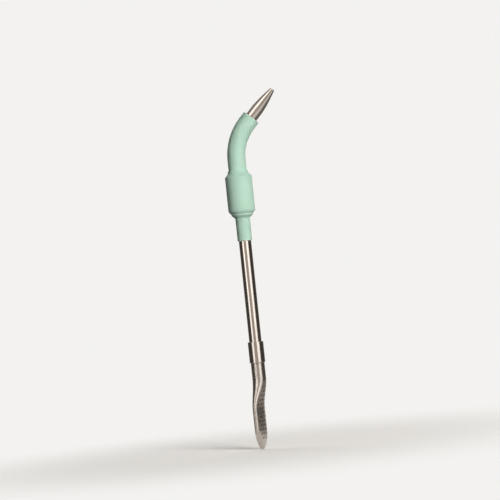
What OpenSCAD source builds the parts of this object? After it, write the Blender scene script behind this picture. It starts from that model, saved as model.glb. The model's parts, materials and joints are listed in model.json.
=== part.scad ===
// A bombilla: a bent steel drinking straw with a screw-on spoon strainer and a moulded grip sleeve.
// Upright, with +Z along the straight tube, +X the way the mouth end bends and the spoon's tip at z = 0.

/* [Straw tube] */
// Outside diameter of the steel tube
tube_d = 6.5; // [5.5:0.1:7]
// Wall of the steel tube
tube_wall = 0.5; // [0.4:0.05:0.7]
// Straight tube from the top of the collar to the start of the bend
stem_len = 95; // [80:1:120]
// Radius of the bend, on the centre line of the tube
bend_r = 27; // [20:1:40]
// Angle of the bend
bend_deg = 43; // [20:1:60]
// Straight tube after the bend
tube_tail = 3; // [2.8:0.1:8]

/* [Mouthpiece] */
// Length of the mouthpiece beyond the end of the tube
mouth_len = 19; // [14:0.5:30]
// Length of the mouthpiece that stays round
mouth_round_len = 5.5; // [3:0.5:8]
// Thickness of the flattened lip
lip_t = 2.4; // [1.8:0.1:4]
// Wall of the mouthpiece
mouth_wall = 0.5; // [0.4:0.05:0.7]
// Length of the spigot that plugs into the tube
spigot_len = 2.4; // [1:0.1:2.6]
// Wall of the spigot
spigot_wall = 0.4; // [0.3:0.05:0.6]
// Length of the cone inside the mouthpiece, above the spigot
bore_cone_len = 0.4; // [0.2:0.05:1]
// Rounding of the lip's edge
lip_round = 0.2; // [0.1:0.02:0.3]

/* [Grip sleeve] */
// Height of the sleeve's lower end above the collar
sleeve_lift = 52.8; // [30:0.1:60]
// Outside diameter of the thin lower cuff
cuff_d = 7.5; // [7.4:0.1:9]
// Length of the lower cuff
cuff_len = 11.8; // [4:0.1:20]
// Height of the cone between the cuff and the lower ring
lower_cone_len = 1.7; // [1.2:0.1:4]
// Diameter of the ring under the grip bulb
lower_ring_d = 11.2; // [10:0.1:12]
// Height of the ring under the grip bulb
lower_ring_len = 0.7; // [0.5:0.1:2]
// Height of the chamfer under the grip bulb
lower_chamfer_len = 1.1; // [0.8:0.1:2]
// Diameter of the grip bulb
bulb_d = 13.9; // [13.3:0.1:20]
// Length of the straight side of the grip bulb
bulb_len = 18.1; // [10:0.1:20]
// Height of the chamfer above the grip bulb
upper_chamfer_len = 1.9; // [1:0.1:3]
// Diameter of the ring above the grip bulb
upper_ring_d = 10.5; // [10.2:0.1:11]
// Height of the ring above the grip bulb
upper_ring_len = 1.3; // [0.7:0.1:2]
// Outside diameter of the sleeve's bent neck
neck_d = 9.4; // [8.8:0.1:9.6]
// Length of the sleeve past the end of the bend
sleeve_tail = 3.9; // [3.2:0.1:9]
// Rounding of the grip bulb's lower edge
bulb_low_round = 2; // [0.5:0.1:2.4]
// Rounding of the grip bulb's upper edge
bulb_top_round = 0.6; // [0.3:0.1:1.5]
// Fillet between the cuff and the cone above it
cuff_fillet = 0.8; // [0.3:0.1:1.5]
// Rounding of the sleeve's ends and its rings
sleeve_round = 0.25; // [0.1:0.05:0.3]
// Clearance of the sleeve round the tube
sleeve_fit = 0.05; // [0.03:0.01:0.1]

/* [Collar and thread] */
// Outside diameter of the collar
collar_d = 8.2; // [7.8:0.1:10]
// Length of the collar
collar_len = 11; // [10:0.5:16]
// Rounding of the collar's outer edges
collar_round = 0.25; // [0.1:0.05:0.4]
// Depth of the socket that holds the tube
socket_depth = 4; // [3:0.1:5]
// Thickness of the inner flange between the tube and the washer
flange_t = 0.9; // [0.5:0.1:1.2]
// Diameter over the crests of the outer thread
thread_d = 6.6; // [6.2:0.1:6.8]
// Height of the thread
thread_h = 0.35; // [0.25:0.05:0.4]
// Width of the thread's crest
ridge_w = 0.32; // [0.2:0.02:0.34]
// Pitch of the thread
thread_pitch = 1.25; // [1:0.05:1.5]
// Clearance between the two threads, across and along
thread_fit = 0.12; // [0.1:0.01:0.16]
// Wall of the filter neck under the thread
neck_wall = 0.7; // [0.5:0.05:0.9]
// Thickness of the seal washer
washer_t = 0.8; // [0.5:0.1:1.2]
// Width of the seal washer's ring
washer_w = 0.7; // [0.4:0.05:0.9]
// Gap between pieces that seat on each other
seat_gap = 0.03; // [0.02:0.01:0.06]

/* [Spoon strainer] */
// Length of the strainer below the collar
filter_len = 45; // [40:1:60]
// Outside diameter of the strainer's round neck
spoon_neck_d = 7.2; // [6.9:0.1:8.2]
// Thickness of the shoulder between collar and spoon
shoulder_t = 0.9; // [0.6:0.1:1.5]
// Length of the skirt inside the spoon's neck
skirt_len = 5; // [3:0.5:6]
// Length of the spoon that stays round
spoon_round_len = 7; // [6:0.5:12]
// Length over which the spoon flattens
spoon_blend_len = 16; // [10:0.5:18]
// Length of the rounded nose of the spoon
nose_len = 11; // [6:0.5:12]
// Width of the spoon
spoon_w = 12.6; // [10:0.2:16]
// Thickness of the spoon
spoon_t = 4.8; // [4:0.1:6.4]
// How far the flat part is set back from the tube's axis
spoon_set = 2; // [0:0.1:4]
// Turn of the spoon about the tube's axis when the thread is home
spoon_turn = 22; // [0:1:90]
// Wall of the pressed spoon
spoon_wall = 0.5; // [0.4:0.05:0.7]
// Thickness of the metal at the tip of the spoon
nose_floor = 1; // [0.8:0.1:2]
// Diameter of the strainer's holes
hole_d = 1; // [0.6:0.1:1.2]
// Distance between the rows of holes
hole_pitch = 2.2; // [2:0.1:4]
// Height of the lowest row of holes
hole_low = 6; // [5:0.5:10]
// Plain metal between the round neck and the highest row of holes
hole_start = 3; // [0:0.5:6]
// Plain metal between the outermost holes and the rim
hole_margin = 1.5; // [1.2:0.1:3]

/* [Hidden] */
$fn = 72;
// Points along a rounded corner
corner_steps = 5;
// Points round the mouthpiece
mouth_sides = 32;
// Rings along the flattened stretch of the mouthpiece
mouth_rings = 9;
// How fast the mouthpiece flattens towards the lip
mouth_power = 1.5;
// Points along the half outline of a spoon shell
half_steps = 16;
// Rings along the spoon's body and along its nose
body_rings = 14;
nose_rings = 8;
// Size of the blunt end of the nose as a share of the full section
nose_blunt = 0.2;
// Columns round a thread
thread_sides = 24;
// Points round a strainer hole
hole_sides = 24;
// Overshoot of cutting shapes
over = 1;
// How much thicker a bent wall is on each face
bend_step = 0.01;
// How far a straight wall runs on inside the thicker wall of the bend
bend_lap = 0.1;

tube_r = tube_d / 2;
tube_bore_r = tube_r - tube_wall;
collar_r = collar_d / 2;
collar_top = filter_len + collar_len;
tube_foot = collar_top - socket_depth + seat_gap;
flange_z = collar_top - socket_depth - flange_t;
washer_z = flange_z - seat_gap - washer_t;
neck_top = washer_z - seat_gap;
recess_z = neck_top - seat_gap;
bend_z = collar_top + stem_len;
sleeve_z = collar_top + sleeve_lift;
sleeve_bore_r = tube_r + sleeve_fit;

crest_r = thread_d / 2;
root_r = crest_r - thread_h;
tap_crest_r = crest_r + thread_fit;
tap_root_r = root_r + thread_fit;
recess_r = tap_crest_r + seat_gap;
ridge_foot_w = ridge_w + thread_h;
neck_bore_r = root_r - neck_wall;

spoon_r = spoon_neck_d / 2;
shoulder_top = filter_len - seat_gap;
spoon_top = shoulder_top - shoulder_t - seat_gap;
skirt_r = spoon_r - spoon_wall - seat_gap;
blend_top = spoon_top - spoon_round_len;
hole_high = blend_top - hole_start;

function unit(v) = v / norm(v);

// The points of a corner at b, between a and c, rounded to radius r
function corner(a, b, c, r) =
    let (u = unit(a - b), v = unit(c - b), half = acos(u * v) / 2)
    let (reach = r / tan(half), centre = b + unit(u + v) * r / sin(half))
    let (from = b + u * reach - centre, to = b + v * reach - centre)
    [for (i = [0:corner_steps]) centre + r * unit(from + (to - from) * i / corner_steps)];

// An outline from corners written as [x, y, radius]
function rounded(path) =
    let (n = len(path), at = function (i) [path[i % n].x, path[i % n].y])
    [for (i = [0:n - 1]) each path[i].z == 0 ? [at(i)] : corner(at(i + n - 1), at(i), at(i + 1), path[i].z)];

// A smooth step from 0 to 1
function ease(u) = let (v = min(max(u, 0), 1)) v * v * (3 - 2 * v);

module ring(outer_r, bore_r) {
    difference() {
        circle(outer_r);
        circle(bore_r);
    }
}

// A thin-walled pipe standing on z = 0
module pipe(outer_r, bore_r, length) {
    linear_extrude(length)
        ring(outer_r, bore_r);
}

// A thin-walled pipe along the bend, a hair thicker than the straight pipes that it joins
module bent_pipe(outer_r, bore_r) {
    translate([bend_r, 0, bend_z])
        rotate([90, 0, 0])
            rotate_extrude(angle = -bend_deg, start = 180)
                translate([bend_r, 0])
                    ring(outer_r + bend_step, bore_r - bend_step);
}

// Moves its children from the origin to the end of the bend
module after_bend() {
    translate([bend_r, 0, bend_z])
        rotate([0, bend_deg, 0])
            translate([-bend_r, 0, 0])
                children();
}

// Half the mouthpiece's thickness at a distance from the end of the tube
function mouth_half(t) =
    let (u = max(t - mouth_round_len, 0) / (mouth_len - mouth_round_len))
    tube_r - (tube_r - lip_t / 2) * pow(u, mouth_power);

// Half the flat that opens as the round tube is pressed flat with its outline kept the same length
function mouth_flat(t) = PI / 2 * (tube_r - mouth_half(t));

// A ring of the mouthpiece, sunk by a depth from its outer face
function mouth_ring(t, depth) =
    let (half = mouth_half(t) - depth, flat = mouth_flat(t))
    [for (i = [0:mouth_sides - 1])
        let (a = 360 * (i + 0.5) / mouth_sides)
        [half * cos(a), half * sin(a) + flat * sign(sin(a)), t]];

// A stack of rings of equal length, closed from the last ring to the first
module ring_stack(rings, sides) {
    count = len(rings);
    points = [for (ring = rings) each ring];
    faces = [for (r = [0:count - 1], i = [0:sides - 1])
        let (a = r * sides + i, b = r * sides + (i + 1) % sides)
        let (c = (r + 1) % count * sides + (i + 1) % sides, d = (r + 1) % count * sides + i)
        each [[a, c, b], [a, d, c]]];
    polyhedron(points, faces);
}

module mouthpiece() {
    step_depth = tube_wall + seat_gap;
    bore_depth = step_depth + spigot_wall;
    flat_start = mouth_round_len;
    flat_end = mouth_len - lip_round;
    stations = [for (i = [0:mouth_rings]) flat_start + (flat_end - flat_start) * i / mouth_rings];
    outer = [for (t = stations) mouth_ring(t, 0)];
    inner = [for (i = [mouth_rings:-1:0]) mouth_ring(stations[i], mouth_wall)];
    lip = [mouth_ring(mouth_len, lip_round), mouth_ring(mouth_len, mouth_wall)];
    spigot = [mouth_ring(-spigot_len, step_depth), mouth_ring(seat_gap, step_depth), mouth_ring(seat_gap, 0)];
    bore = [mouth_ring(spigot_wall + bore_cone_len, mouth_wall), mouth_ring(spigot_wall, bore_depth),
        mouth_ring(-spigot_len, bore_depth)];
    color("silver")
        after_bend()
            translate([0, 0, tube_tail])
                ring_stack(concat(spigot, outer, lip, inner, bore), mouth_sides);
}

module straw_tube() {
    color("silver") {
        translate([0, 0, tube_foot])
            pipe(tube_r, tube_bore_r, bend_z - tube_foot + bend_lap);
        bent_pipe(tube_r, tube_bore_r);
        after_bend()
            translate([0, 0, -bend_lap])
                pipe(tube_r, tube_bore_r, tube_tail + bend_lap);
    }
}

module grip_sleeve() {
    lower_ring_z = cuff_len + lower_cone_len;
    chamfer_z = lower_ring_z + lower_ring_len;
    bulb_z = chamfer_z + lower_chamfer_len;
    top_z = bulb_z + bulb_len;
    upper_ring_z = top_z + upper_chamfer_len;
    neck_z = upper_ring_z + upper_ring_len;
    neck_end = bend_z - sleeve_z + bend_lap;
    outline = rounded([
        [sleeve_bore_r, 0, 0],
        [cuff_d / 2, 0, sleeve_round],
        [cuff_d / 2, cuff_len, cuff_fillet],
        [lower_ring_d / 2, lower_ring_z, sleeve_round],
        [lower_ring_d / 2, chamfer_z, sleeve_round],
        [bulb_d / 2, bulb_z, bulb_low_round],
        [bulb_d / 2, top_z, bulb_top_round],
        [upper_ring_d / 2, upper_ring_z, sleeve_round],
        [upper_ring_d / 2, neck_z, sleeve_round],
        [neck_d / 2, neck_z, sleeve_round],
        [neck_d / 2, neck_end, 0],
        [sleeve_bore_r, neck_end, 0]]);
    mouth = rounded([
        [sleeve_bore_r, -bend_lap, 0],
        [neck_d / 2, -bend_lap, 0],
        [neck_d / 2, sleeve_tail, sleeve_round],
        [sleeve_bore_r, sleeve_tail, sleeve_round]]);
    color("#b9dcc9") {
        translate([0, 0, sleeve_z])
            rotate_extrude()
                polygon(outline);
        bent_pipe(neck_d / 2, sleeve_bore_r);
        after_bend()
            rotate_extrude()
                polygon(mouth);
    }
}

// A right-hand threaded bar from low to high, with flat ends
module thread_bar(foot_r, top_r, foot_w, top_w, low, high) {
    rows_per_turn = 4;
    spare_turns = 2;
    turns = ceil((high - low) / thread_pitch) + 2 * spare_turns;
    rows = rows_per_turn * turns;
    stride = rows + rows_per_turn;
    base = filter_len - (ceil((filter_len - low) / thread_pitch) + spare_turns) * thread_pitch;
    shifts = [-foot_w / 2, -top_w / 2, top_w / 2, foot_w / 2];
    radii = [foot_r, top_r, top_r, foot_r];
    points = concat([for (i = [0:thread_sides - 1], j = [0:stride - 1])
        let (a = 360 * i / thread_sides, m = j % rows_per_turn, r = radii[m])
        let (lead = floor(j / rows_per_turn) + i / thread_sides)
        [r * cos(a), r * sin(a), base + lead * thread_pitch + shifts[m]]],
        [[0, 0, base - thread_pitch], [0, 0, base + (turns + spare_turns) * thread_pitch]]);
    at = function (i, j) i < thread_sides ? i * stride + j : j + rows_per_turn;
    bottom = thread_sides * stride;
    top = bottom + 1;
    last = rows - 1;
    sides = [for (i = [0:thread_sides - 1], j = [0:last - 1])
        each [[at(i, j), at(i + 1, j + 1), at(i + 1, j)], [at(i, j), at(i, j + 1), at(i + 1, j + 1)]]];
    caps = [for (i = [0:thread_sides - 1])
        each [[bottom, at(i, 0), at(i + 1, 0)], [top, at(i + 1, last), at(i, last)]]];
    seams = [for (j = [0:rows_per_turn - 1])
        each [[bottom, j + 1, j], [top, last + j, last + j + 1]]];
    intersection() {
        polyhedron(points, concat(sides, caps, seams));
        translate([0, 0, low])
            cylinder(r = top_r + over, h = high - low);
    }
}

module collar() {
    body = rounded([
        [0, filter_len, 0],
        [collar_r, filter_len, collar_round],
        [collar_r, collar_top, collar_round],
        [0, collar_top, 0]]);
    color("gainsboro")
        difference() {
            rotate_extrude()
                polygon(body);
            translate([0, 0, collar_top - socket_depth])
                cylinder(r = tube_r + seat_gap, h = socket_depth + over);
            translate([0, 0, recess_z])
                cylinder(r = tube_bore_r, h = collar_len);
            translate([0, 0, recess_z])
                cylinder(r = recess_r, h = flange_z - recess_z);
            thread_bar(tap_root_r, tap_crest_r, ridge_foot_w + 2 * thread_fit, ridge_w + 2 * thread_fit,
                filter_len - over, recess_z + seat_gap);
        }
}

module seal_washer() {
    washer_r = tap_root_r - seat_gap;
    color("#c8d2cc")
        translate([0, 0, washer_z])
            pipe(washer_r, washer_r - washer_w, washer_t);
}

module filter_neck() {
    skirt_z = spoon_top - skirt_len;
    body = rounded([
        [0, skirt_z, 0],
        [skirt_r, skirt_z, 0],
        [skirt_r, spoon_top + seat_gap, 0],
        [spoon_r, spoon_top + seat_gap, 0],
        [spoon_r, shoulder_top, collar_round],
        [0, shoulder_top, 0]]);
    color("gainsboro")
        difference() {
            union() {
                rotate_extrude()
                    polygon(body);
                thread_bar(root_r, crest_r, ridge_foot_w, ridge_w, shoulder_top - shoulder_t / 2, neck_top);
            }
            translate([0, 0, skirt_z - over])
                cylinder(r = neck_bore_r, h = neck_top - skirt_z + 2 * over);
        }
}

// How far the spoon has flattened at a height, from 0 round to 1 flat
function spoon_flat(z) = ease((blend_top - z) / spoon_blend_len);

// Half thickness, half width and setback of the spoon at a height
function spoon_half_t(z) = spoon_r + (spoon_t / 2 - spoon_r) * spoon_flat(z);
function spoon_half_w(z) = spoon_r + (spoon_w / 2 - spoon_r) * spoon_flat(z);
function spoon_shift(z) = -spoon_set * spoon_flat(z);

// How far the nose has closed in, from 1 full to the blunt end
function nose_share(z, foot) =
    let (v = max(nose_len - z, 0) / (nose_len - foot))
    sqrt(1 - (1 - nose_blunt * nose_blunt) * v * v);

// Heights of the rings of a spoon skin that ends at a foot height
function spoon_levels(foot) = concat(
    [for (i = [0:body_rings]) spoon_top + (nose_len - spoon_top) * i / body_rings],
    [for (i = [1:nose_rings]) nose_len + (foot - nose_len) * sin(90 * i / nose_rings)]);

// Half a ring of the spoon on the side given by the sign, sunk by a depth from its outer face
function half_ring(z, foot, depth, side) =
    let (share = nose_share(z, foot))
    let (half_t = (spoon_half_t(z) - depth) * share, half_w = (spoon_half_w(z) - depth) * share)
    [for (i = [0:half_steps])
        let (a = 180 * i / half_steps - 90)
        [spoon_shift(z) + side * half_t * cos(a), half_w * sin(a), z]];

// A pressed shell, the half of the spoon on the side given by the sign
module half_shell(side) {
    outer_z = spoon_levels(0);
    inner_z = spoon_levels(nose_floor);
    count = len(outer_z);
    half = half_steps + 1;
    loop = 2 * half;
    points = [for (k = [0:count - 1]) each concat(
        half_ring(outer_z[k], 0, 0, side),
        [for (i = [half_steps:-1:0]) half_ring(inner_z[k], nose_floor, spoon_wall, side)[i]])];
    walls = [for (k = [0:count - 2], i = [0:loop - 1])
        let (a = k * loop + i, b = k * loop + (i + 1) % loop)
        let (c = b + loop, d = a + loop)
        each [[a, b, c], [a, c, d]]];
    rim = [for (i = [0:half_steps - 1])
        let (a = i, b = i + 1, c = loop - 2 - i, d = loop - 1 - i)
        each [[a, c, b], [a, d, c]]];
    end = (count - 1) * loop;
    outer_cap = [for (i = [1:half_steps - 1]) [end, end + i, end + i + 1]];
    inner_cap = [for (i = [1:half_steps - 1]) [end + half, end + half + i, end + half + i + 1]];
    seam = [[end, end + half_steps, end + half], [end, end + half, end + loop - 1]];
    faces = concat(walls, rim, outer_cap, inner_cap, seam);
    polyhedron(points, side > 0 ? faces : [for (f = faces) [f[2], f[1], f[0]]]);
}

// The strainer's holes, in staggered rows as wide as the spoon allows
module spoon_holes() {
    rows = floor((hole_high - hole_low) / hole_pitch);
    for (row = [0:rows]) {
        z = hole_low + row * hole_pitch;
        reach = spoon_half_w(z) * nose_share(z, 0) - hole_margin;
        stagger = row % 2 * hole_pitch / 2;
        for (y = [-floor((reach + stagger) / hole_pitch) * hole_pitch + stagger:hole_pitch:reach])
            translate([spoon_shift(z), y, z])
                rotate([0, 90, 0])
                    cylinder(d = hole_d, h = 2 * spoon_r + over, center = true, $fn = hole_sides);
    }
}

module spoon_half(side) {
    color("silver")
        rotate([0, 0, -spoon_turn])
            difference() {
                half_shell(side);
                spoon_holes();
            }
}

module spoon_front() {
    spoon_half(-1);
}

module spoon_back() {
    spoon_half(1);
}

mouthpiece();
straw_tube();
grip_sleeve();
collar();
seal_washer();
filter_neck();
spoon_front();
spoon_back();
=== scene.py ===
"""Looks of a bombilla: a bent steel drinking straw with a moulded grip sleeve and a screw-on spoon strainer.

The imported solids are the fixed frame. The mouthpiece, the tube, the sleeve, the two spoon shells and the
threaded neck are modelled again here with finer surfaces, and the collar and the washer keep their solids.
"""

from __future__ import annotations

import json
import logging
import math
from dataclasses import dataclass
from enum import Enum
from typing import Any

import bmesh
import bpy
from bpy.types import Material, Node, NodeSocket, NodeTree, Object
from mathutils import Matrix, Vector

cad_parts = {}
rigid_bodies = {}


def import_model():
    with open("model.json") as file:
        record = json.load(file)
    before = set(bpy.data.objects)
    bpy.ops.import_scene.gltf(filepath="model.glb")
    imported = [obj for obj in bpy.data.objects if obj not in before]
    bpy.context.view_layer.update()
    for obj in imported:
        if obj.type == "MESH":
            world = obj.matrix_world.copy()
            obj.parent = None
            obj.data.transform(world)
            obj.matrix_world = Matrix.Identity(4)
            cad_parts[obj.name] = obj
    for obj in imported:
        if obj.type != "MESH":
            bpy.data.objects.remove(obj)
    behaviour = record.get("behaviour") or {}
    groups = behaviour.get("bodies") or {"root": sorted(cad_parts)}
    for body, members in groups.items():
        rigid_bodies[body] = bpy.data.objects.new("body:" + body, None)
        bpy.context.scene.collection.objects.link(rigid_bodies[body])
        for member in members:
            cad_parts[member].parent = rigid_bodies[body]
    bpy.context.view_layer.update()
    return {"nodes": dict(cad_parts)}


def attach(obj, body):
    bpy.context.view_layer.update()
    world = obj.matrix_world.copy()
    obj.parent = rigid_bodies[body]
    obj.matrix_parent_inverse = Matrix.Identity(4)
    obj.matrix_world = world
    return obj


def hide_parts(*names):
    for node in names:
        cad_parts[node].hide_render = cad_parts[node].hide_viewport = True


LOG = logging.getLogger("bombilla")
MM = 0.001
MERGE = 0.002 * MM  # points closer than this are one point
TINY = 1e-9  # smaller differences are rounding
UP = Vector((0, 0, 1))
COLOUR_A, COLOUR_B, COLOUR_OUT = 6, 7, 2  # a colour mix's sockets: its two colours and its result
Point = tuple[float, float]  # a radius and a height
Corner = tuple[float, float, float]  # a radius, a height and a rounding


class Body(Enum):
    """The bodies that the new pieces ride on."""

    STRAINER = "strainer"
    STRAW = "straw"


class Slot(Enum):
    """Names for material slots of the new pieces, which this script gives to no piece."""

    POLISHED = "polished_steel"
    TURNED = "turned_steel"
    SLEEVE = "mint_silicone"


class Lay(Enum):
    """Which way the fine lines of a steel surface run."""

    LENGTHWISE = "lengthwise"
    ROUND = "round"


class Pick(Enum):
    """What is selected of a mesh as it is opened."""

    ALL = "SELECT"
    NOTHING = "DESELECT"


def linear(code: str) -> tuple[float, float, float, float]:
    """Turns an sRGB hex colour into linear light.

    Args:
        code: The colour as six hex digits after a hash sign.

    Returns:
        Linear red, green and blue, and an alpha of 1.
    """
    parts = [int(code[i : i + 2], 16) / 255 for i in (1, 3, 5)]
    red, green, blue = (p / 12.92 if p <= 0.04045 else ((p + 0.055) / 1.055) ** 2.4 for p in parts)
    return red, green, blue, 1.0


def add_node(tree: NodeTree, kind: str, inputs: dict[Any, Any] | None = None, **settings: Any) -> Node:
    """Adds a node with its settings, values and links.

    Args:
        tree: The node tree that gets the node.
        kind: The node's type name, after the ShaderNode that all of them start with.
        inputs: Socket names or numbers, each with a value, a socket or a node whose first output feeds it.
        **settings: Properties of the node.

    Returns:
        The new node.
    """
    node = tree.nodes.new("ShaderNode" + kind)
    for name, setting in settings.items():
        setattr(node, name, setting)
    for key, value in (inputs or {}).items():
        source = value.outputs[0] if isinstance(value, Node) else value
        if isinstance(source, NodeSocket):
            tree.links.new(source, node.inputs[key])
        else:
            node.inputs[key].default_value = source
    return node


def start_material(name: str) -> tuple[Material, NodeTree, NodeSocket]:
    """Starts a material with nothing in its node tree but the point on the piece.

    Args:
        name: The material's name.

    Returns:
        The material, its tree and the point's socket.
    """
    material = bpy.data.materials.new(name)
    material.use_nodes = True
    tree = material.node_tree
    tree.nodes.clear()
    return material, tree, add_node(tree, "TexCoord").outputs["Object"]


def shown_rays(tree: NodeTree) -> Node:
    """Adds the nodes that pick out the rays which show the pale surround.

    Args:
        tree: The node tree that gets them.

    Returns:
        The node that gives 1 for a ray from the camera, a mirror or glass, and 0 for any other.
    """
    rays = add_node(tree, "LightPath").outputs
    seen = add_node(tree, "Math", {0: rays["Is Camera Ray"], 1: rays["Is Glossy Ray"]}, operation="MAXIMUM")
    return add_node(tree, "Math", {0: seen, 1: rays["Is Transmission Ray"]}, operation="MAXIMUM")


@dataclass(frozen=True)
class SteelFinish:
    """Polished stainless steel, whose fine lines break up its highlights and widen them across the lines.

    Sizes are in millimetres. The real lines are a few hundredths wide, so they are drawn coarser to show.
    """

    name: str
    bright: str = "#d3cbc4"
    dull: str = "#b9b0a8"
    lay: Lay = Lay.LENGTHWISE
    tilt: float = 0.0
    line_width: float = 0.28
    line_run: float = 30.0
    line_depth: float = 0.0012
    line_wear: float = 0.5
    smudge: float = 5.0
    roughness: float = 0.14
    roughness_spread: float = 0.07

    def line_scale(self) -> tuple[float, float, float]:
        """Gives the scale that draws the lines out.

        Returns:
            Repeats per metre along each axis.
        """
        across = 1 / (self.line_width * MM)
        along = 1 / (self.line_run * MM)
        return (along, along, across) if self.lay is Lay.ROUND else (across, across, along)

    def material(self) -> Material:
        """Makes the material.

        Returns:
            A metal with drawn lines, faint smudges and a roughness that follows both.
        """
        material, tree, place = start_material(self.name)
        lean = (0, -math.radians(self.tilt), 0)
        leaning = add_node(tree, "Mapping", {"Vector": place, "Rotation": lean})
        drawn = add_node(tree, "Mapping", {"Vector": leaning, "Scale": self.line_scale()})
        lines = add_node(tree, "TexNoise", {"Vector": drawn, "Scale": 1.0, "Detail": 3.0, "Roughness": 0.6})
        clouds = {"Vector": place, "Scale": 1 / (self.smudge * MM), "Detail": 2.0, "Distortion": 0.6}
        smudges = add_node(tree, "TexNoise", clouds)
        colours = {0: lines, COLOUR_A: linear(self.dull), COLOUR_B: linear(self.bright)}
        tone = add_node(tree, "Mix", colours, data_type="RGBA")
        wear = add_node(tree, "Math", {0: lines, 1: self.line_wear, 2: smudges}, operation="MULTIPLY_ADD")
        rough = {"To Min": self.roughness, "To Max": self.roughness + self.roughness_spread}
        blur = add_node(tree, "MapRange", {"Value": wear, "From Min": 0.5, "From Max": 1.0, **rough})
        relief = add_node(tree, "Bump", {"Height": lines, "Strength": 0.5, "Distance": self.line_depth * MM})
        shader = add_node(
            tree,
            "BsdfPrincipled",
            {"Base Color": tone.outputs[COLOUR_OUT], "Metallic": 1.0, "Roughness": blur, "Normal": relief},
        )
        add_node(tree, "OutputMaterial", {"Surface": shader})
        return material


@dataclass(frozen=True)
class SiliconeFinish:
    """Moulded silicone rubber: a matte skin with the mould's fine grain, a soft colour and no hard glint.

    Sizes are in millimetres. The real grain is about a tenth wide, so it is drawn coarser to show.
    """

    name: str
    body: str
    pale: str
    lint: str = "#e6efe9"
    grain: float = 0.4
    grain_depth: float = 0.012
    mottle: float = 6.0
    lint_spacing: float = 3.2
    lint_size: float = 0.11
    lint_cover: float = 0.6
    roughness: float = 0.6
    roughness_spread: float = 0.14
    ior: float = 1.41
    scatter: float = 0.05
    scatter_depth: float = 0.8
    scatter_tint: tuple[float, float, float] = (1.0, 1.4, 1.1)

    def body_tone(self, tree: NodeTree, place: NodeSocket, grain: Node) -> NodeSocket:
        """Mixes the colour: cloudy pigment with a fine grain, and a few specks of lint on the rubber.

        Args:
            tree: The material's tree.
            place: The point on the piece.
            grain: The mould's grain.

        Returns:
            The colour.
        """
        haze = {"Vector": place, "Scale": 1 / (self.mottle * MM), "Detail": 3.0}
        mottle = add_node(tree, "TexNoise", haze)
        cloud = add_node(tree, "Math", {0: mottle, 1: grain}, operation="ADD")
        share = add_node(tree, "MapRange", {"Value": cloud, "From Min": 0.75, "From Max": 1.25})
        colours = {0: share, COLOUR_A: linear(self.body), COLOUR_B: linear(self.pale)}
        pigment = add_node(tree, "Mix", colours, data_type="RGBA").outputs[COLOUR_OUT]
        cells = add_node(tree, "TexVoronoi", {"Vector": place, "Scale": 1 / (self.lint_spacing * MM)})
        speck = self.lint_size / self.lint_spacing
        span = {"Value": cells, "From Min": speck, "From Max": speck / 2, "To Max": self.lint_cover}
        lint = add_node(tree, "MapRange", span)
        colours = {0: lint, COLOUR_A: pigment, COLOUR_B: linear(self.lint)}
        return add_node(tree, "Mix", colours, data_type="RGBA").outputs[COLOUR_OUT]

    def material(self) -> Material:
        """Makes the material.

        Returns:
            A soft rubber with cloudy colour, grain and a little light let in under its skin.
        """
        material, tree, place = start_material(self.name)
        grit = {"Vector": place, "Scale": 1 / (self.grain * MM), "Detail": 2.0, "Roughness": 0.55}
        grain = add_node(tree, "TexNoise", grit)
        rough = {"To Min": self.roughness, "To Max": self.roughness + self.roughness_spread}
        blur = add_node(tree, "MapRange", {"Value": grain, "From Min": 0.3, "From Max": 0.7, **rough})
        bumps = {"Height": grain, "Strength": 0.5, "Distance": self.grain_depth * MM}
        relief = add_node(tree, "Bump", bumps)
        shader = add_node(
            tree,
            "BsdfPrincipled",
            {
                "Base Color": self.body_tone(tree, place, grain),
                "Roughness": blur,
                "IOR": self.ior,
                "Normal": relief,
                "Subsurface Weight": self.scatter,
                "Subsurface Radius": self.scatter_tint,
                "Subsurface Scale": self.scatter_depth * MM,
            },
        )
        add_node(tree, "OutputMaterial", {"Surface": shader})
        return material


def leave_edit_mode() -> None:
    """Goes to object mode with nothing selected."""
    if bpy.context.object and bpy.context.object.mode != "OBJECT":
        bpy.ops.object.mode_set(mode="OBJECT")
    bpy.ops.object.select_all(action="DESELECT")


def make_active(piece: Object) -> None:
    """Goes to object mode with one piece selected.

    Args:
        piece: The piece, which becomes the active one.
    """
    leave_edit_mode()
    bpy.context.view_layer.objects.active = piece
    piece.select_set(True)


def edit(piece: Object, pick: Pick) -> bmesh.types.BMesh:
    """Opens a piece in edit mode.

    Args:
        piece: The piece.
        pick: What is selected of it.

    Returns:
        Its mesh.
    """
    make_active(piece)
    bpy.ops.object.mode_set(mode="EDIT")
    bpy.ops.mesh.select_all(action=pick.value)
    return bmesh.from_edit_mesh(piece.data)


def draw_line(name: str, points: list[Vector]) -> Object:
    """Draws a line of edges, one extruded after the other, and stays in edit mode.

    Args:
        name: The line's name.
        points: Its points in metres.

    Returns:
        The line.
    """
    leave_edit_mode()
    bpy.ops.mesh.primitive_plane_add(size=1)
    line = bpy.context.object
    line.name = name
    edit(line, Pick.ALL)
    bpy.ops.mesh.merge(type="CENTER")
    bpy.ops.transform.translate(value=points[0])
    for before, point in zip(points, points[1:]):
        bpy.ops.mesh.extrude_vertices_move(TRANSFORM_OT_translate={"value": point - before})
    return line


def bridge_rims(piece: Object, height: float | None = None) -> None:
    """Closes the gap between two open rims of a piece that is in edit mode.

    Args:
        piece: The piece.
        height: The height at which both rims lie, in millimetres, or None where it has no other rims.
    """
    bpy.ops.mesh.select_mode(type="EDGE")
    bpy.ops.mesh.select_all(action="DESELECT")
    for edge in bmesh.from_edit_mesh(piece.data).edges:
        level = height is None or all(abs(v.co.z - height * MM) < MERGE for v in edge.verts)
        if edge.is_boundary and level:
            edge.select_set(True)
    bpy.ops.mesh.bridge_edge_loops()
    bpy.ops.mesh.select_mode(type="VERT")


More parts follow.
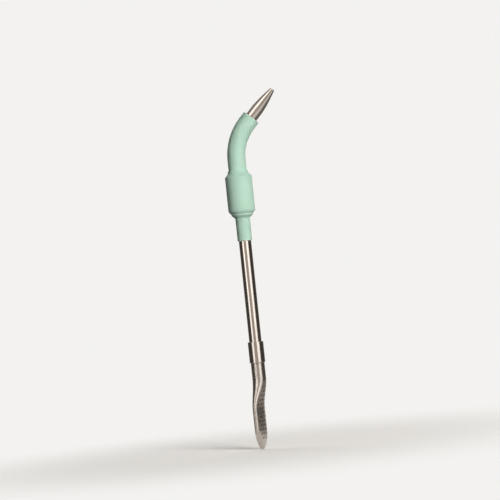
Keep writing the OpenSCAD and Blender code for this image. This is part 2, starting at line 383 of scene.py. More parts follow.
def face_outwards() -> None:
    """Turns all faces of the piece in edit mode outwards."""
    bpy.ops.mesh.select_all(action="SELECT")
    bpy.ops.mesh.normals_make_consistent(inside=False)


def apply_modifier(piece: Object, kind: str, **settings: Any) -> None:
    """Adds a modifier to a piece and applies it.

    Args:
        piece: The piece.
        kind: The modifier's type.
        **settings: The modifier's properties.
    """
    make_active(piece)
    modifier = piece.modifiers.new(kind.title(), kind)
    for name, setting in settings.items():
        setattr(modifier, name, setting)
    bpy.ops.object.modifier_apply(modifier=modifier.name)


def remove_slivers(piece: Object) -> None:
    """Takes out the pairs of faces without width that lie back to back where a cut grazes an edge.

    Args:
        piece: The piece that was cut.
    """
    edit(piece, Pick.ALL)
    bpy.ops.mesh.remove_doubles(threshold=MERGE)
    bpy.ops.mesh.quads_convert_to_tris()
    bpy.ops.mesh.select_mode(type="FACE")
    bpy.ops.mesh.select_all(action="DESELECT")
    seen: dict[frozenset[int], bmesh.types.BMFace] = {}
    for face in bmesh.from_edit_mesh(piece.data).faces:
        twin = seen.setdefault(frozenset(v.index for v in face.verts), face)
        if twin is not face:
            twin.select_set(True)
            face.select_set(True)
    bpy.ops.mesh.delete(type="FACE")
    bpy.ops.mesh.select_mode(type="VERT")
    leave_edit_mode()


def smooth(piece: Object, sharp: float) -> None:
    """Shades a piece smooth, but for edges that turn by more than an angle in degrees."""
    make_active(piece)
    bpy.ops.object.shade_smooth_by_angle(angle=math.radians(sharp))


def place_in_mesh(piece: Object, turn: float, axis: str, at: Vector) -> None:
    """Turns and moves a finished piece and puts its place in its mesh.

    Args:
        piece: The piece, modelled at the origin.
        turn: The turn in degrees.
        axis: The axis of the turn, X, Y or Z.
        at: Where its origin goes, in metres.
    """
    make_active(piece)
    piece.matrix_world = Matrix.Translation(at) @ Matrix.Rotation(math.radians(turn), 4, axis)
    bpy.ops.object.transform_apply(location=True, rotation=True, scale=True)


def dress(piece: Object, material: Material) -> None:
    """Gives a piece one material in place of any others."""
    piece.data.materials.clear()
    piece.data.materials.append(material)


def quarter_turn(steps: int) -> list[float]:
    """Gives the angles of a quarter turn in equal steps, without its start, in radians."""
    return [math.pi / 2 * i / steps for i in range(1, steps + 1)]


def rounded(path: list[Corner], steps: int = 6) -> list[Point]:
    """Rounds the corners of an outline, in millimetres.

    Args:
        path: The outline's corners.
        steps: Pieces along each rounded corner.

    Returns:
        The outline's points.
    """
    spots = [Vector(corner[:2]) for corner in path]
    points: list[Point] = []
    for index, here in enumerate(spots):
        rounding = path[index][2]
        if rounding == 0:
            points.append(tuple(here))
            continue
        before = (spots[index - 1] - here).normalized()
        after = (spots[(index + 1) % len(spots)] - here).normalized()
        half = before.angle(after) / 2
        centre = here + (before + after).normalized() * (rounding / math.sin(half))
        start = here + before * (rounding / math.tan(half)) - centre
        end = here + after * (rounding / math.tan(half)) - centre
        for step in range(steps + 1):
            points.append(tuple(centre + start.lerp(end, step / steps).normalized() * rounding))
    return points


class RingLoft:
    """A hollow piece drawn as by hand: one circle, extruded, scaled and spun ring by ring in edit mode."""

    def __init__(self, name: str, radius: float, height: float, sides: int) -> None:
        """Starts with one circle about the Z axis.

        Args:
            name: The piece's name.
            radius: The circle's radius in millimetres.
            height: Its height in millimetres.
            sides: Points round it.
        """
        leave_edit_mode()
        bpy.ops.mesh.primitive_circle_add(vertices=sides, radius=radius * MM, fill_type="NOTHING")
        self.piece: Object = bpy.context.object
        self.piece.name = self.piece.data.name = name
        self.centre = UP * (height * MM)
        self.radius = radius
        edit(self.piece, Pick.ALL)
        bpy.ops.transform.translate(value=self.centre)

    def join(self, other: Object) -> None:
        """Takes another mesh into the piece.

        Args:
            other: The other mesh, which is used up.
        """
        bpy.ops.object.mode_set(mode="OBJECT")
        other.select_set(True)
        bpy.context.view_layer.objects.active = self.piece
        bpy.ops.object.join()
        bpy.ops.object.mode_set(mode="EDIT")

    def extrude(self, centre: Vector) -> None:
        """Draws the open ring out to a new centre, in metres."""
        bpy.ops.mesh.extrude_region_move(TRANSFORM_OT_translate={"value": centre - self.centre})
        self.centre = centre

    def grow(self, share: tuple[float, float, float]) -> None:
        """Scales the open ring about its centre, by a share along each axis."""
        bpy.ops.transform.resize(value=share, center_override=self.centre)

    def ring(self, radius: float, centre: Vector) -> None:
        """Draws the open ring out to a new centre and a new radius.

        Args:
            radius: The new radius in millimetres.
            centre: The new centre in metres.
        """
        self.extrude(centre)
        share = radius / self.radius
        if abs(share - 1) > TINY:
            self.grow((share, share, share))
        self.radius = radius

    def outline(self, points: list[Point], base: Vector, along: Vector) -> None:
        """Draws the open ring out along points in millimetres, whose heights start at a base in metres."""
        for radius, height in points:
            self.ring(radius, base + along * (height * MM))

    def spin(self, degrees: float, centre: Vector, steps: int) -> None:
        """Sweeps the open ring round an axis along Y.

        Args:
            degrees: The angle of the sweep.
            centre: A point on the axis, in metres.
            steps: Pieces along the sweep.
        """
        bpy.ops.mesh.spin(steps=steps, angle=-math.radians(degrees), center=centre, axis=(0, 1, 0))
        turn = Matrix.Rotation(math.radians(degrees), 3, "Y")
        self.centre = centre + turn @ (self.centre - centre)

    def shift_half(self, side: int, move: float) -> None:
        """Moves the half of the open ring on one side of its centre along Y.

        Args:
            side: Which side, 1 or -1.
            move: How far it moves outwards, in metres.
        """
        mesh = bmesh.from_edit_mesh(self.piece.data)
        ring = [v for v in mesh.verts if v.select]
        for vertex in ring:
            vertex.select_set((vertex.co.y - self.centre.y) * side > 0)
        mesh.select_flush_mode()
        bpy.ops.transform.translate(value=(0, side * move, 0))
        for vertex in ring:
            vertex.select_set(True)
        mesh.select_flush(True)

    def close(self, sharp: float) -> Object:
        """Merges what meets, turns the faces outwards and shades the piece.

        Args:
            sharp: Edges that turn by more than this many degrees stay sharp.

        Returns:
            The finished piece.
        """
        bpy.ops.mesh.select_all(action="SELECT")
        bpy.ops.mesh.remove_doubles(threshold=MERGE)
        face_outwards()
        smooth(self.piece, sharp)
        return self.piece


@dataclass
class Bend:
    """The bend that the tube, the sleeve and the mouthpiece share, in millimetres and degrees."""

    start: float = 151.0
    radius: float = 27.0
    angle: float = 43.0
    steps: int = 40

    def pivot(self) -> Vector:
        """Gives a point on the axis of the bend, in metres."""
        return Vector((self.radius, 0, self.start)) * MM

    def way_out(self) -> Vector:
        """Gives the direction of the straw past the bend."""
        return Vector((math.sin(math.radians(self.angle)), 0, math.cos(math.radians(self.angle))))

    def end(self) -> Vector:
        """Gives the centre line's point at the end of the bend, in metres."""
        turn = Matrix.Rotation(math.radians(self.angle), 3, "Y")
        return self.pivot() + turn @ Vector((-self.radius, 0, 0)) * MM

    def past(self, distance: float) -> Vector:
        """Gives the centre line's point at a distance past the bend, in metres."""
        return self.end() + self.way_out() * distance * MM


@dataclass
class Straw:
    """The steel of the straw, which is a drawn tube and a pressed mouthpiece, in millimetres and degrees."""

    bend: Bend
    tube_radius: float = 3.25
    wall: float = 0.5
    foot: float = 52.03
    tail: float = 3.0
    sides: int = 96
    tube_sharp: float = 40.0
    mouth_length: float = 19.0
    mouth_round: float = 5.5
    mouth_power: float = 1.5
    mouth_rings: int = 36
    mouth_sharp: float = 45.0
    lip_half: float = 1.2
    lip_edge: float = 0.2
    lip_steps: int = 5
    spigot: float = 2.4
    spigot_inset: float = 0.53
    spigot_bore: float = 2.32
    bore_step_foot: float = 0.4
    bore_step_top: float = 0.8
    seat: float = 0.03
    tube_finish: SteelFinish = SteelFinish("drawn_stainless_tube")
    mouth_finish: SteelFinish = SteelFinish("drawn_stainless_mouthpiece", tilt=43.0)

    def build_tube(self) -> Object:
        """Draws the bent tube with its bore.

        Returns:
            The tube, which stands for the solid of that name.
        """
        bore = self.tube_radius - self.wall
        foot, tip = UP * self.foot * MM, self.bend.past(self.tail)
        loft = RingLoft("drawn_tube", self.tube_radius, self.foot, self.sides)
        loft.ring(self.tube_radius, UP * self.bend.start * MM)
        loft.spin(self.bend.angle, self.bend.pivot(), self.bend.steps)
        loft.ring(self.tube_radius, tip)
        loft.ring(bore, tip)
        loft.ring(bore, self.bend.end())
        loft.spin(-self.bend.angle, self.bend.pivot(), self.bend.steps)
        loft.ring(bore, foot)
        loft.ring(self.tube_radius, foot)
        return loft.close(self.tube_sharp)

    def half_thickness(self, along: float) -> float:
        """Gives half the mouthpiece's thickness at a distance from the tube's end."""
        share = max(along - self.mouth_round, 0) / (self.mouth_length - self.mouth_round)
        return self.tube_radius - (self.tube_radius - self.lip_half) * share**self.mouth_power

    def half_flat(self, along: float) -> float:
        """Gives half the flat that opens as the round end is pressed with its outline kept as long."""
        return math.pi / 2 * (self.tube_radius - self.half_thickness(along))

    def mouth_ring(self, loft: RingLoft, along: float, depth: float, flat: float) -> float:
        """Draws the mouthpiece's open ring out to its next section.

        Args:
            loft: The mouthpiece so far.
            along: Distance of the section from the tube's end.
            depth: How far it is sunk from the outer face.
            flat: Half the flat of the section before.

        Returns:
            Half the flat of the new section.
        """
        radius = self.half_thickness(along) - depth
        share = radius / loft.radius
        loft.ring(radius, UP * (along * MM))
        wanted = self.half_flat(along)
        move = (wanted - flat * share) * MM
        if abs(move) > TINY:
            loft.shift_half(1, move)
            loft.shift_half(-1, move)
        return wanted

    def mouth_path(self) -> list[tuple[float, float]]:
        """Gives the mouthpiece's sections from the seat of its spigot to its lip and back through its bore.

        Returns:
            Distances from the tube's end and depths below the outer face.
        """
        lip_foot = self.mouth_length - self.lip_edge
        span = lip_foot - self.mouth_round
        stations = [self.mouth_round + span * i / self.mouth_rings for i in range(self.mouth_rings + 1)]
        path = [(self.seat, self.spigot_inset)] + [(along, 0.0) for along in [self.seat] + stations]
        for turn in quarter_turn(self.lip_steps):
            path.append((lip_foot + self.lip_edge * math.sin(turn), self.lip_edge * (1 - math.cos(turn))))
        inside = [self.mouth_length] + stations[::-1] + [self.bore_step_top]
        path += [(along, self.wall) for along in inside]
        bore_depth = self.tube_radius - self.spigot_bore
        return path + [(self.bore_step_foot, bore_depth), (-self.spigot, bore_depth)]

    def build_mouthpiece(self) -> Object:
        """Draws the mouthpiece upright and sets it on the end of the tube.

        Returns:
            The mouthpiece, which stands for the solid of that name.
        """
        start, foot = self.tube_radius - self.spigot_inset, UP * (-self.spigot * MM)
        loft = RingLoft("pressed_mouthpiece", start, -self.spigot, self.sides)
        bpy.ops.transform.rotate(value=math.pi / self.sides, orient_axis="Z", center_override=foot)
        flat = 0.0
        for along, depth in self.mouth_path():
            flat = self.mouth_ring(loft, along, depth, flat)
        loft.ring(start, foot)
        piece = loft.close(self.mouth_sharp)
        place_in_mesh(piece, self.bend.angle, "Y", self.bend.past(self.tail))
        return piece

    def build(self) -> list[Object]:
        """Builds, dresses and seats the tube and the mouthpiece.

        Returns:
            Both pieces.
        """
        tube = self.build_tube()
        dress(tube, self.tube_finish.material())
        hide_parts("straw_tube")
        mouthpiece = self.build_mouthpiece()
        dress(mouthpiece, self.mouth_finish.material())
        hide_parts("mouthpiece")
        for piece in (tube, mouthpiece):
            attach(piece, Body.STRAW.value)
        return [tube, mouthpiece]


@dataclass
class GripSleeve:
    """The moulded silicone sleeve with its cuff, grip bulb and bent neck, in millimetres and degrees."""

    bend: Bend
    foot: float = 108.8
    bore: float = 3.3
    cuff: float = 3.75
    cuff_top: float = 11.8
    lower_ring: float = 5.6
    lower_ring_foot: float = 13.5
    lower_ring_top: float = 14.2
    bulb: float = 6.95
    bulb_foot: float = 15.3
    bulb_top: float = 33.4
    upper_ring: float = 5.25
    upper_ring_foot: float = 35.3
    upper_ring_top: float = 36.6
    neck: float = 4.7
    tail: float = 3.9
    bulb_low_round: float = 2.0
    bulb_top_round: float = 0.6
    cuff_fillet: float = 0.8
    ring_round: float = 0.7
    edge_round: float = 0.25
    sides: int = 96
    sharp: float = 50.0
    parting_height: float = 0.05
    skin_slack: float = 0.02
    finish: SiliconeFinish = SiliconeFinish("moulded_mint_silicone", body="#b3d9c7", pale="#bee1cf")

    def outer_outline(self) -> list[Point]:
        """Gives the outside of the sleeve from its foot to the start of the bend.

        Returns:
            Radii and heights above the foot.
        """
        top = self.bend.start - self.foot
        corners = [
            (self.bore, 0.0, 0.0),
            (self.cuff, 0.0, self.edge_round),
            (self.cuff, self.cuff_top, self.cuff_fillet),
            (self.lower_ring, self.lower_ring_foot, self.ring_round),
            (self.lower_ring, self.lower_ring_top, self.ring_round),
            (self.bulb, self.bulb_foot, self.bulb_low_round),
            (self.bulb, self.bulb_top, self.bulb_top_round),
            (self.upper_ring, self.upper_ring_foot, self.ring_round),
            (self.upper_ring, self.upper_ring_top, self.edge_round),
            (self.neck, self.upper_ring_top, self.edge_round),
            (self.neck, top, 0.0),
            (self.bore, top, 0.0),
        ]
        return rounded(corners)[1:-1]

    def mouth_outline(self) -> list[Point]:
        """Gives the outside of the sleeve from the end of the bend to its bore.

        Returns:
            Radii and heights past the bend.
        """
        corners = [
            (self.bore, 0.0, 0.0),
            (self.neck, 0.0, 0.0),
            (self.neck, self.tail, self.edge_round),
            (self.bore, self.tail, self.edge_round),
        ]
        return rounded(corners)[2:]

    def raise_parting_line(self, piece: Object) -> None:
        """Raises the fine line that the two halves of the mould leave in the plane of the bend.

        Args:
            piece: The sleeve.
        """
        mesh = edit(piece, Pick.NOTHING)
        for vertex in mesh.verts:
            vertex.select_set(abs(vertex.co.y) < MERGE and self.on_outside(vertex.co))
        mesh.select_flush_mode()
        bpy.ops.transform.shrink_fatten(value=self.parting_height * MM)
        leave_edit_mode()

    def on_outside(self, point: Vector) -> bool:
        """Tells whether a point of the mesh lies clear of the bore and of the sleeve's two ends.

        Args:
            point: The point in metres.

        Returns:
            True on the outer skin.
        """
        neck, cuff = self.neck - self.skin_slack, self.cuff - self.skin_slack
        past = (point - self.bend.end()).dot(self.bend.way_out()) / MM
        if past > 0:
            reach = (point - self.bend.past(past)).length / MM
            return reach > neck and past < self.tail - self.edge_round
        if point.z / MM > self.bend.start:
            return abs((point - self.bend.pivot()).length / MM - self.bend.radius) > neck
        return abs(point.x) / MM > cuff and point.z / MM > self.foot + self.edge_round

    def build(self) -> list[Object]:
        """Builds, dresses and seats the sleeve.

        Returns:
            The sleeve alone.
        """
        foot = UP * self.foot * MM
        loft = RingLoft("moulded_sleeve", self.bore, self.foot, self.sides)
        loft.outline(self.outer_outline(), foot, UP)
        loft.spin(self.bend.angle, self.bend.pivot(), self.bend.steps)
        loft.outline(self.mouth_outline(), self.bend.end(), self.bend.way_out())
        loft.ring(self.bore, self.bend.end())
        loft.spin(-self.bend.angle, self.bend.pivot(), self.bend.steps)
        loft.ring(self.bore, foot)
        sleeve = loft.close(self.sharp)
        self.raise_parting_line(sleeve)
        dress(sleeve, self.finish.material())
        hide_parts("grip_sleeve")
        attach(sleeve, Body.STRAW.value)
        return [sleeve]


@dataclass
class SpoonStrainer:
    """The two pressed and pierced shells of the strainer, in millimetres and degrees."""

    top: float = 44.04
    neck: float = 3.6
    round_length: float = 7.0
    blend_length: float = 16.0
    nose: float = 11.0
    nose_blunt: float = 0.2
    half_width: float = 6.3
    half_thickness: float = 2.4
    setback: float = 2.0
    turn: float = 22.0
    wall: float = 0.5
    seam_draw: float = 0.013
    hole: float = 0.5
    hole_pitch: float = 2.2
    hole_low: float = 6.0
    hole_start: float = 3.0
    hole_margin: float = 1.5
    hole_sides: int = 32
    punch_spare: float = 1.0
    sides: int = 96
    body_rings: int = 44
    nose_rings: int = 20
    skin_sharp: float = 60.0
    shell_sharp: float = 40.0
    finish: SteelFinish = SteelFinish(
        "pressed_stainless_shell", line_run=14.0, roughness=0.2, roughness_spread=0.1
    )

    def flatness(self, height: float) -> float:
        """Gives how far the spoon has flattened at a height, from 0 round to 1 flat."""
        share = min(max((self.top - self.round_length - height) / self.blend_length, 0), 1)
        return share * share * (3 - 2 * share)

    def nose_share(self, height: float, inset: float) -> float:
        """Gives how far the nose has closed in at a height, from 1 full to the blunt end."""
        share = max(self.nose - height, 0) / (self.nose - inset)
        return math.sqrt(1 - (1 - self.nose_blunt**2) * share**2)

    def shift(self, height: float) -> float:
        """Gives how far the middle of the spoon lies along X at a height."""
        return -self.setback * self.flatness(height)

    def section(self, height: float, inset: float = 0.0) -> tuple[float, float]:
        """Gives the spoon's section at a height.

        Args:
            height: The height above the tip.
            inset: How far the section lies inside the outer one.

        Returns:
            Half its thickness and half its width.
        """
        flat, share = self.flatness(height), self.nose_share(height, inset)
        half_t = (self.neck + (self.half_thickness - self.neck) * flat - inset) * share
        half_w = (self.neck + (self.half_width - self.neck) * flat - inset) * share
        return half_t, half_w

    def levels(self, inset: float) -> list[float]:
        """Gives the heights of a skin's rings below the top one.

        Args:
            inset: How far the skin lies inside the outer one.

        Returns:
            Heights from the top down to the tip.
        """
        step = (self.nose - self.top) / self.body_rings
        body = [self.top + step * i for i in range(1, self.body_rings + 1)]
        return body + [self.nose - (self.nose - inset) * math.sin(t) for t in quarter_turn(self.nose_rings)]

    def build_skin(self, name: str, inset: float) -> Object:
        """Draws one skin of the spoon as a closed nose.

        Args:
            name: The skin's name.
            inset: How far the skin lies inside the outer one.

        Returns:
            The skin, open at its top.
        """
        half_t = half_w = self.neck - inset
        loft = RingLoft(name, half_w, self.top, self.sides)
        for height in self.levels(inset):
            next_t, next_w = self.section(height, inset)
            loft.extrude(Vector((self.shift(height), 0, height)) * MM)
            loft.grow((next_t / half_t, next_w / half_w, 1))
            half_t, half_w = next_t, next_w
        bpy.ops.mesh.extrude_region_move()
        bpy.ops.mesh.merge(type="CENTER")
        return loft.close(self.skin_sharp)

    def draw_in_seam(self, skin: Object) -> None:
        """Draws a skin in a little along the seam, where the shells' pressed edges turn under.

        Args:
            skin: The outer skin.
        """
        for vertex in edit(skin, Pick.NOTHING).verts:
            vertex.select_set(abs(vertex.co.x - self.shift(vertex.co.z / MM) * MM) < MERGE)
        bpy.ops.transform.resize(value=(1, 1 - self.seam_draw, 1), center_override=(0, 0, 0))
        leave_edit_mode()

    def part_shells(self) -> list[Object]:
        """Parts an outer and an inner skin along the seam and closes each half round its rim.

        Returns:
            The back shell and the front shell.
        """
        back = self.build_skin("pressed_shell_back", 0.0)
        self.draw_in_seam(back)
        lining = self.build_skin("lining", self.wall)
        make_active(back)
        lining.select_set(True)
        bpy.ops.object.join()
        for face in edit(back, Pick.NOTHING).faces:
            middle = face.calc_center_median() / MM
            face.select_set(middle.x < self.shift(middle.z))
        bpy.ops.mesh.separate(type="SELECTED")
        leave_edit_mode()
        front = next(o for o in bpy.data.objects if o.name.startswith("pressed_shell_back."))
        front.name = front.data.name = "pressed_shell_front"
        for shell in (back, front):
            edit(shell, Pick.NOTHING)
            bridge_rims(shell)
            face_outwards()
            leave_edit_mode()
        return [back, front]

    def hole_places(self) -> list[Vector]:
        """Sets the holes out in staggered rows as wide as the spoon allows.

        Returns:
            The middle of each hole, in metres.
        """
        rows = math.floor((self.top - self.round_length - self.hole_start - self.hole_low) / self.hole_pitch)
        places: list[Vector] = []
        for row in range(rows + 1):
            height = self.hole_low + row * self.hole_pitch
            reach = self.section(height)[1] - self.hole_margin
            stagger = row % 2 * self.hole_pitch / 2
            across = stagger - math.floor((reach + stagger) / self.hole_pitch) * self.hole_pitch
            while across <= reach + TINY:
                places.append(Vector((self.shift(height), across, height)) * MM)
                across += self.hole_pitch
        return places

    def build_punches(self) -> Object:
        """Models one round punch and copies it to every hole.

        Returns:
            All the punches as one object.
        """
        leave_edit_mode()
        bpy.ops.mesh.primitive_cylinder_add(
            vertices=self.hole_sides,
            radius=self.hole * MM,
            depth=(2 * self.neck + self.punch_spare) * MM,
            rotation=(0, math.pi / 2, 0),
        )
        first = bpy.context.object
        bpy.ops.object.transform_apply(rotation=True)
        first_place, *places = self.hole_places()
        for place in places:
            copy = bpy.data.objects.new("punch", first.data.copy())
            copy.data.transform(Matrix.Translation(place))
            bpy.context.scene.collection.objects.link(copy)
            copy.select_set(True)
        first.data.transform(Matrix.Translation(first_place))
        bpy.context.view_layer.objects.active = first
        bpy.ops.object.join()
        return first

    def build(self) -> list[Object]:
        """Builds, pierces, dresses and seats both shells.

        Returns:
            The back shell and the front shell.
        """
        shells = self.part_shells()
        punches = self.build_punches()
        material = self.finish.material()
        for shell, node in zip(shells, ("spoon_back", "spoon_front")):
            apply_modifier(shell, "BOOLEAN", operation="DIFFERENCE", solver="EXACT", object=punches)
            remove_slivers(shell)
            smooth(shell, self.shell_sharp)
            place_in_mesh(shell, -self.turn, "Z", Vector())
            dress(shell, material)
            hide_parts(node)
            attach(shell, Body.STRAINER.value)
        bpy.data.objects.remove(punches)
        return shells


@dataclass
class ScrewJoint:
    """The threaded neck, and the collar and washer that keep their solids, in millimetres and degrees."""

    nodes: dict[str, Object]
    pitch: float = 1.25
    crest: float = 3.3
    root: float = 2.95
    crest_width: float = 0.32
    foot_width: float = 0.67
    thread_start: float = 42.5
    turns: int = 8
    thread_steps: int = 72
    thread_foot: float = 44.6
    thread_inside: float = 2.35
    bore: float = 2.25
    skirt: float = 3.07
    skirt_foot: float = 39.04
    shoulder: float = 3.6
    shoulder_foot: float = 44.07
    shoulder_top: float = 44.97
    shoulder_round: float = 0.25
    core: float = 2.7
    core_top: float = 50.19
    top: float = 50.24
    sides: int = 96
    sharp: float = 35.0
    collar_finish: SteelFinish = SteelFinish(
        "turned_stainless_collar", lay=Lay.ROUND, line_width=0.22, line_run=12.0
    )
    neck_finish: SteelFinish = SteelFinish(
        "turned_stainless_neck",
        bright="#c4beb8",
        dull="#a8a19a",
        lay=Lay.ROUND,
        line_width=0.2,
        roughness=0.24,
    )
    washer_finish: SiliconeFinish = SiliconeFinish(
        "milky_silicone_washer", body="#d3d8d2", pale="#dde1dc", roughness=0.4, scatter=0.3
    )

    def thread_profile(self) -> list[Vector]:
        """Gives the thread's profile over one pitch.

        Returns:
            Its points in the plane of X and Z, in metres.
        """
        foot, tip = self.foot_width / 2, self.crest_width / 2
        profile = [(self.root, -foot), (self.crest, -tip), (self.crest, tip), (self.root, foot)]
        profile.append((self.root, self.pitch - foot))
        return [Vector((radius, 0, self.thread_start + rise)) * MM for radius, rise in profile]

    def build_thread(self) -> Object:
        """Draws the thread's profile, screws it up about Z, cuts it flat and lines it.

        Returns:
            The thread as a closed sleeve, with its foot sunk in the shoulder.
        """
        wall = draw_line("thread_wall", self.thread_profile())
        apply_modifier(
            wall,
            "SCREW",
            axis="Z",
            angle=2 * math.pi,
            screw_offset=self.pitch * MM,
            iterations=self.turns,
            steps=self.thread_steps,
            render_steps=self.thread_steps,
        )
        edit(wall, Pick.ALL)
        bpy.ops.mesh.remove_doubles(threshold=MERGE)
        for height, cut in ((self.top, {"clear_outer": True}), (self.thread_foot, {"clear_inner": True})):
            bpy.ops.mesh.select_all(action="SELECT")
            bpy.ops.mesh.bisect(plane_co=(0, 0, height * MM), plane_no=UP, threshold=MERGE, **cut)
        leave_edit_mode()
        lining = RingLoft("thread", self.thread_inside, self.top, self.sides)
        lining.ring(self.thread_inside, UP * (self.thread_foot * MM))
        lining.join(wall)
        bridge_rims(lining.piece, self.top)
        bridge_rims(lining.piece, self.thread_foot)
        return lining.close(self.sharp)

    def build_neck(self) -> Object:
        """Draws the neck's core from its bore round its skirt and shoulder, and puts the thread on it.

        Returns:
            The neck, which stands for the solid of that name.
        """
        thread = self.build_thread()
        corners = [
            (self.bore, self.core_top, 0.0),
            (self.bore, self.skirt_foot, 0.0),
            (self.skirt, self.skirt_foot, 0.0),
            (self.skirt, self.shoulder_foot, 0.0),
            (self.shoulder, self.shoulder_foot, 0.0),
            (self.shoulder, self.shoulder_top, self.shoulder_round),
            (self.core, self.shoulder_top, 0.0),
            (self.core, self.core_top, 0.0),
        ]
        loft = RingLoft("threaded_neck", self.bore, self.core_top, self.sides)
        loft.outline(rounded(corners)[1:], Vector(), UP)
        bridge_rims(loft.piece, self.core_top)
        loft.join(thread)
        return loft.close(self.sharp)

    def build(self) -> list[Object]:
        """Builds and seats the neck, and dresses it, the collar and the washer.

        Returns:
            All three.
        """
        neck = self.build_neck()
        dress(neck, self.neck_finish.material())
        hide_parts("filter_neck")
        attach(neck, Body.STRAINER.value)
        dress(self.nodes["collar"], self.collar_finish.material())
        dress(self.nodes["seal_washer"], self.washer_finish.material())
        return [neck, self.nodes["collar"], self.nodes["seal_washer"]]


def toward(azimuth: float, elevation: float = 0.0) -> Vector:
    """Gives the direction at an angle to the right of the camera's side and at a height, in degrees."""
    lift = Matrix.Rotation(-math.radians(elevation), 3, "X")
    return Matrix.Rotation(math.radians(azimuth), 3, "Z") @ lift @ Vector((0, -1, 0))


@dataclass(frozen=True)
class SoftBox:
    """A soft lamp that faces the straw, at two angles from the camera's side, in degrees and metres."""

    name: str
    azimuth: float
    elevation: float
    width: float
    height: float
    watts: float
    colour: str = "#fffcf8"

    def build(self, target: Vector, distance: float, mirrored: bool) -> None:
        """Hangs the lamp.

        Args:
            target: What it faces, in metres.
            distance: How far from there it hangs, in metres.
            mirrored: True where only metal mirrors it, False where it only lights matte surfaces.
        """
        lamp = bpy.data.lights.new(self.name, "AREA")
        lamp.shape = "RECTANGLE"
        lamp.size, lamp.size_y = self.width, self.height
        lamp.energy = self.watts
        lamp.color = linear(self.colour)[:3]
        holder = bpy.data.objects.new(self.name, lamp)
        away = toward(self.azimuth, self.elevation)
        holder.location = target + away * distance
        holder.rotation_euler = (-away).to_track_quat("-Z", "Y").to_euler()
        holder.visible_camera = False
        holder.visible_diffuse = not mirrored
        holder.visible_glossy = mirrored
        bpy.context.scene.collection.objects.link(holder)


@dataclass(frozen=True)
class Panel:
    """A glowing panel of painted dark reflection between two angles from the camera's side, and the angles
    over which it pales.
    """

    name: str
    begin: float
    end: float
    tone: str = "#4a4743"
    far_tone: str = "#d8d3cd"
    paling: tuple[float, float] = (128.0, 165.0)


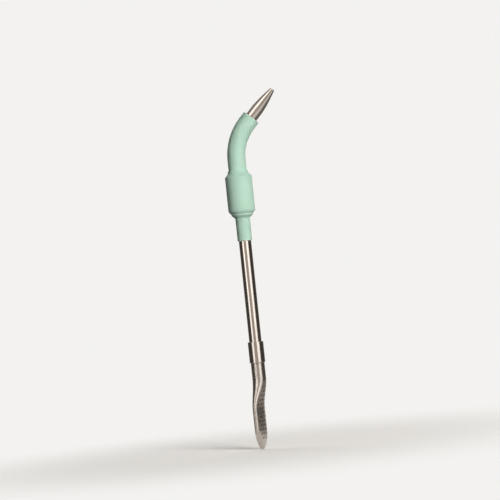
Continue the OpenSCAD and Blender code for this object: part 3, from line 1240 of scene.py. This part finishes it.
@dataclass
class Studio:
    """The pale floor, the lamps, the glowing panels that paint dark reflections in the steel, and the
    camera, in metres and degrees.
    """

    target: tuple[float, float, float] = (0.00212, 0.0, 0.10372)
    pale: str = "#f3f2f0"
    bounce: str = "#807e7b"
    daylight: str = "#ffffff"
    ambient: float = 0.05
    floor_half: float = 6.0
    floor_lift: float = 0.12
    floor_fade: tuple[float, float] = (0.03, 0.25)
    camera_distance: float = 1.5
    camera_roll: float = 5.93
    view_width: float = 0.26
    sensor: float = 36.0
    panel_inside: float = 0.03
    panel_fade: tuple[tuple[float, float], ...] = ((0.03, 1.0), (0.08, 0.36), (0.21, 0.28), (0.32, 0.0))
    panel_clearance: float = 0.002
    panel_distance: float = 2.0
    panel_height: float = 3.0
    panel_paling_height: tuple[float, float] = (1.5, 2.9)
    panel_steps: int = 24
    # The panels glow and only polished metal mirrors them: they paint the dark reflections of shade on the
    # steel.
    panels: tuple[Panel, ...] = (
        Panel("dark_panel_right", begin=56.0, end=165.0),
        Panel("dark_panel_left", begin=-58.0, end=-165.0),
        Panel("grey_panel_front", begin=-30.0, end=16.0, tone="#bdb4ab", paling=(90.0, 180.0)),
    )
    mirrored_distance: float = 0.9
    mirrored_boxes: tuple[SoftBox, ...] = (
        SoftBox("right_soft_box", azimuth=33.5, elevation=6.0, width=0.53, height=1.5, watts=3.0),
        SoftBox("left_soft_box", azimuth=-42.0, elevation=12.0, width=0.34, height=1.3, watts=2.0),
        SoftBox("high_left_soft_box", azimuth=-66.0, elevation=40.0, width=0.2, height=0.24, watts=0.1),
        SoftBox("high_front_soft_box", azimuth=-24.0, elevation=25.0, width=0.16, height=0.2, watts=0.13),
    )
    matte_distance: float = 1.2
    matte_boxes: tuple[SoftBox, ...] = (
        SoftBox("front_key", azimuth=26.0, elevation=16.0, width=0.4, height=0.4, watts=14.0),
        SoftBox("back_fill_right", azimuth=158.0, elevation=25.0, width=0.9, height=0.9, watts=6.0),
        SoftBox("back_fill_left", azimuth=-158.0, elevation=25.0, width=0.9, height=0.9, watts=6.0),
    )

    def build_world(self) -> None:
        """Lights the scene from all sides and shows a pale surround to the camera and to the metal."""
        world = bpy.data.worlds.new("pale_surround")
        bpy.context.scene.world = world
        world.use_nodes = True
        tree = world.node_tree
        tree.nodes.clear()
        light = add_node(tree, "Background", {"Color": linear(self.daylight), "Strength": self.ambient})
        pale = add_node(tree, "Background", {"Color": linear(self.pale), "Strength": 1.0})
        both = add_node(tree, "MixShader", {0: shown_rays(tree), 1: light, 2: pale})
        add_node(tree, "OutputWorld", {"Surface": both})

    def build_floor(self) -> None:
        """Lays a pale floor that keeps the shadow near the tip and runs into the surround farther out."""
        leave_edit_mode()
        bpy.ops.mesh.primitive_plane_add(size=2 * self.floor_half)
        floor = bpy.context.object
        floor.name = "pale_floor"
        material, tree, place = start_material("pale_painted_floor")
        reach = add_node(tree, "VectorMath", {0: place}, operation="LENGTH").outputs["Value"]
        first, last = self.floor_fade
        span = {"Value": reach, "From Min": first, "From Max": last}
        far = add_node(tree, "MapRange", span, interpolation_type="SMOOTHERSTEP")
        bounce = add_node(tree, "BsdfDiffuse", {"Color": linear(self.bounce)})
        paint = add_node(tree, "BsdfDiffuse", {"Color": linear(self.pale)})
        lift = add_node(tree, "Emission", {"Color": linear(self.pale), "Strength": self.floor_lift})
        near = add_node(tree, "AddShader", {0: paint, 1: lift})
        glow = add_node(tree, "Emission", {"Color": linear(self.pale), "Strength": 1.0})
        view = add_node(tree, "MixShader", {0: far, 1: near, 2: glow})
        both = add_node(tree, "MixShader", {0: shown_rays(tree), 1: bounce, 2: view})
        add_node(tree, "OutputMaterial", {"Surface": both})
        dress(floor, material)

    def painted_reflection_material(self, panel: Panel) -> Material:
        """Makes a panel's glowing surface, a painted reflection: its own dark tone, paler near the
        strainer's tip, farther round and higher up as painted light.

        Args:
            panel: The panel.

        Returns:
            The material.
        """
        material, tree, place = start_material(panel.name)
        reach = add_node(tree, "VectorMath", {0: place}, operation="LENGTH").outputs["Value"]
        share = add_node(tree, "ValToRGB", {0: reach})
        stops = share.color_ramp.elements
        stops[0].color, stops[1].color = (1, 1, 1, 1), (0, 0, 0, 1)
        for distance, paleness in self.panel_fade:
            stops.new(distance).color = (paleness, paleness, paleness, 1)
        parts = add_node(tree, "SeparateXYZ", {0: place}).outputs
        side = add_node(tree, "Math", {0: parts["X"]}, operation="ABSOLUTE")
        ahead = add_node(tree, "Math", {0: parts["Y"], 1: -1.0}, operation="MULTIPLY")
        turn = add_node(tree, "Math", {0: side, 1: ahead}, operation="ARCTAN2")
        paling = [math.radians(angle) for angle in panel.paling]
        for value, (first, last) in ((turn, paling), (parts["Z"], self.panel_paling_height)):
            span = {"Value": value, "From Min": first, "From Max": last}
            far = add_node(tree, "MapRange", span, interpolation_type="SMOOTHSTEP")
            share = add_node(tree, "Math", {0: share, 1: far}, operation="MAXIMUM")
        colours = {0: share, COLOUR_A: linear(panel.tone), COLOUR_B: linear(panel.far_tone)}
        tone = add_node(tree, "Mix", colours, data_type="RGBA").outputs[COLOUR_OUT]
        # The panel glows with its tone: a painted reflection of shade and light, not a lamp.
        surface = add_node(tree, "Emission", {"Color": tone, "Strength": 1.0})
        add_node(tree, "OutputMaterial", {"Surface": surface})
        return material

    def build_panel(self, panel: Panel) -> None:
        """Stands a curved glowing panel round a part of the straw, which only polished metal mirrors, as a
        painted dark reflection.

        Args:
            panel: The panel.
        """
        way, lift = toward(panel.begin), UP * self.panel_clearance
        corner = way * self.panel_distance + lift
        points = [way * self.panel_inside + lift, corner, corner + UP * self.panel_height]
        sheet = draw_line(panel.name, points)
        bpy.ops.mesh.select_all(action="SELECT")
        sweep = math.radians(panel.begin - panel.end)
        bpy.ops.mesh.spin(steps=self.panel_steps, angle=sweep, center=(0, 0, 0), axis=UP)
        leave_edit_mode()
        dress(sheet, self.painted_reflection_material(panel))
        sheet.visible_camera = False
        sheet.visible_diffuse = False
        sheet.visible_shadow = False

    def build_camera(self) -> None:
        """Sets the camera level with the straw and rolled as in the photograph."""
        lens = bpy.data.cameras.new("front_camera")
        lens.type = "PERSP"
        lens.sensor_width = self.sensor
        lens.lens = self.sensor * self.camera_distance / self.view_width
        camera = bpy.data.objects.new("front_camera", lens)
        upright = Matrix.Rotation(math.pi / 2, 4, "X")
        roll = Matrix.Rotation(math.radians(self.camera_roll), 4, "Y")
        stand = Vector(self.target) + toward(0.0) * self.camera_distance
        camera.matrix_world = Matrix.Translation(stand) @ roll @ upright
        bpy.context.scene.collection.objects.link(camera)
        bpy.context.scene.camera = camera

    def build(self) -> None:
        """Builds the whole studio."""
        bpy.context.scene.view_settings.view_transform = "Standard"
        self.build_world()
        self.build_floor()
        for panel in self.panels:
            self.build_panel(panel)
        for box in self.mirrored_boxes:
            box.build(Vector(self.target), self.mirrored_distance, mirrored=True)
        for box in self.matte_boxes:
            box.build(Vector(self.target), self.matte_distance, mirrored=False)
        self.build_camera()


def main() -> None:
    """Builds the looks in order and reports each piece."""
    logging.basicConfig(level=logging.INFO, format="%(name)s: %(message)s")
    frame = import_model()
    Studio().build()
    bend = Bend()
    for assembly in (Straw(bend), GripSleeve(bend), SpoonStrainer(), ScrewJoint(frame["nodes"])):
        for piece in assembly.build():
            LOG.info("%s: %d faces", piece.name, len(piece.data.polygons))


if __name__ == "__main__":
    main()
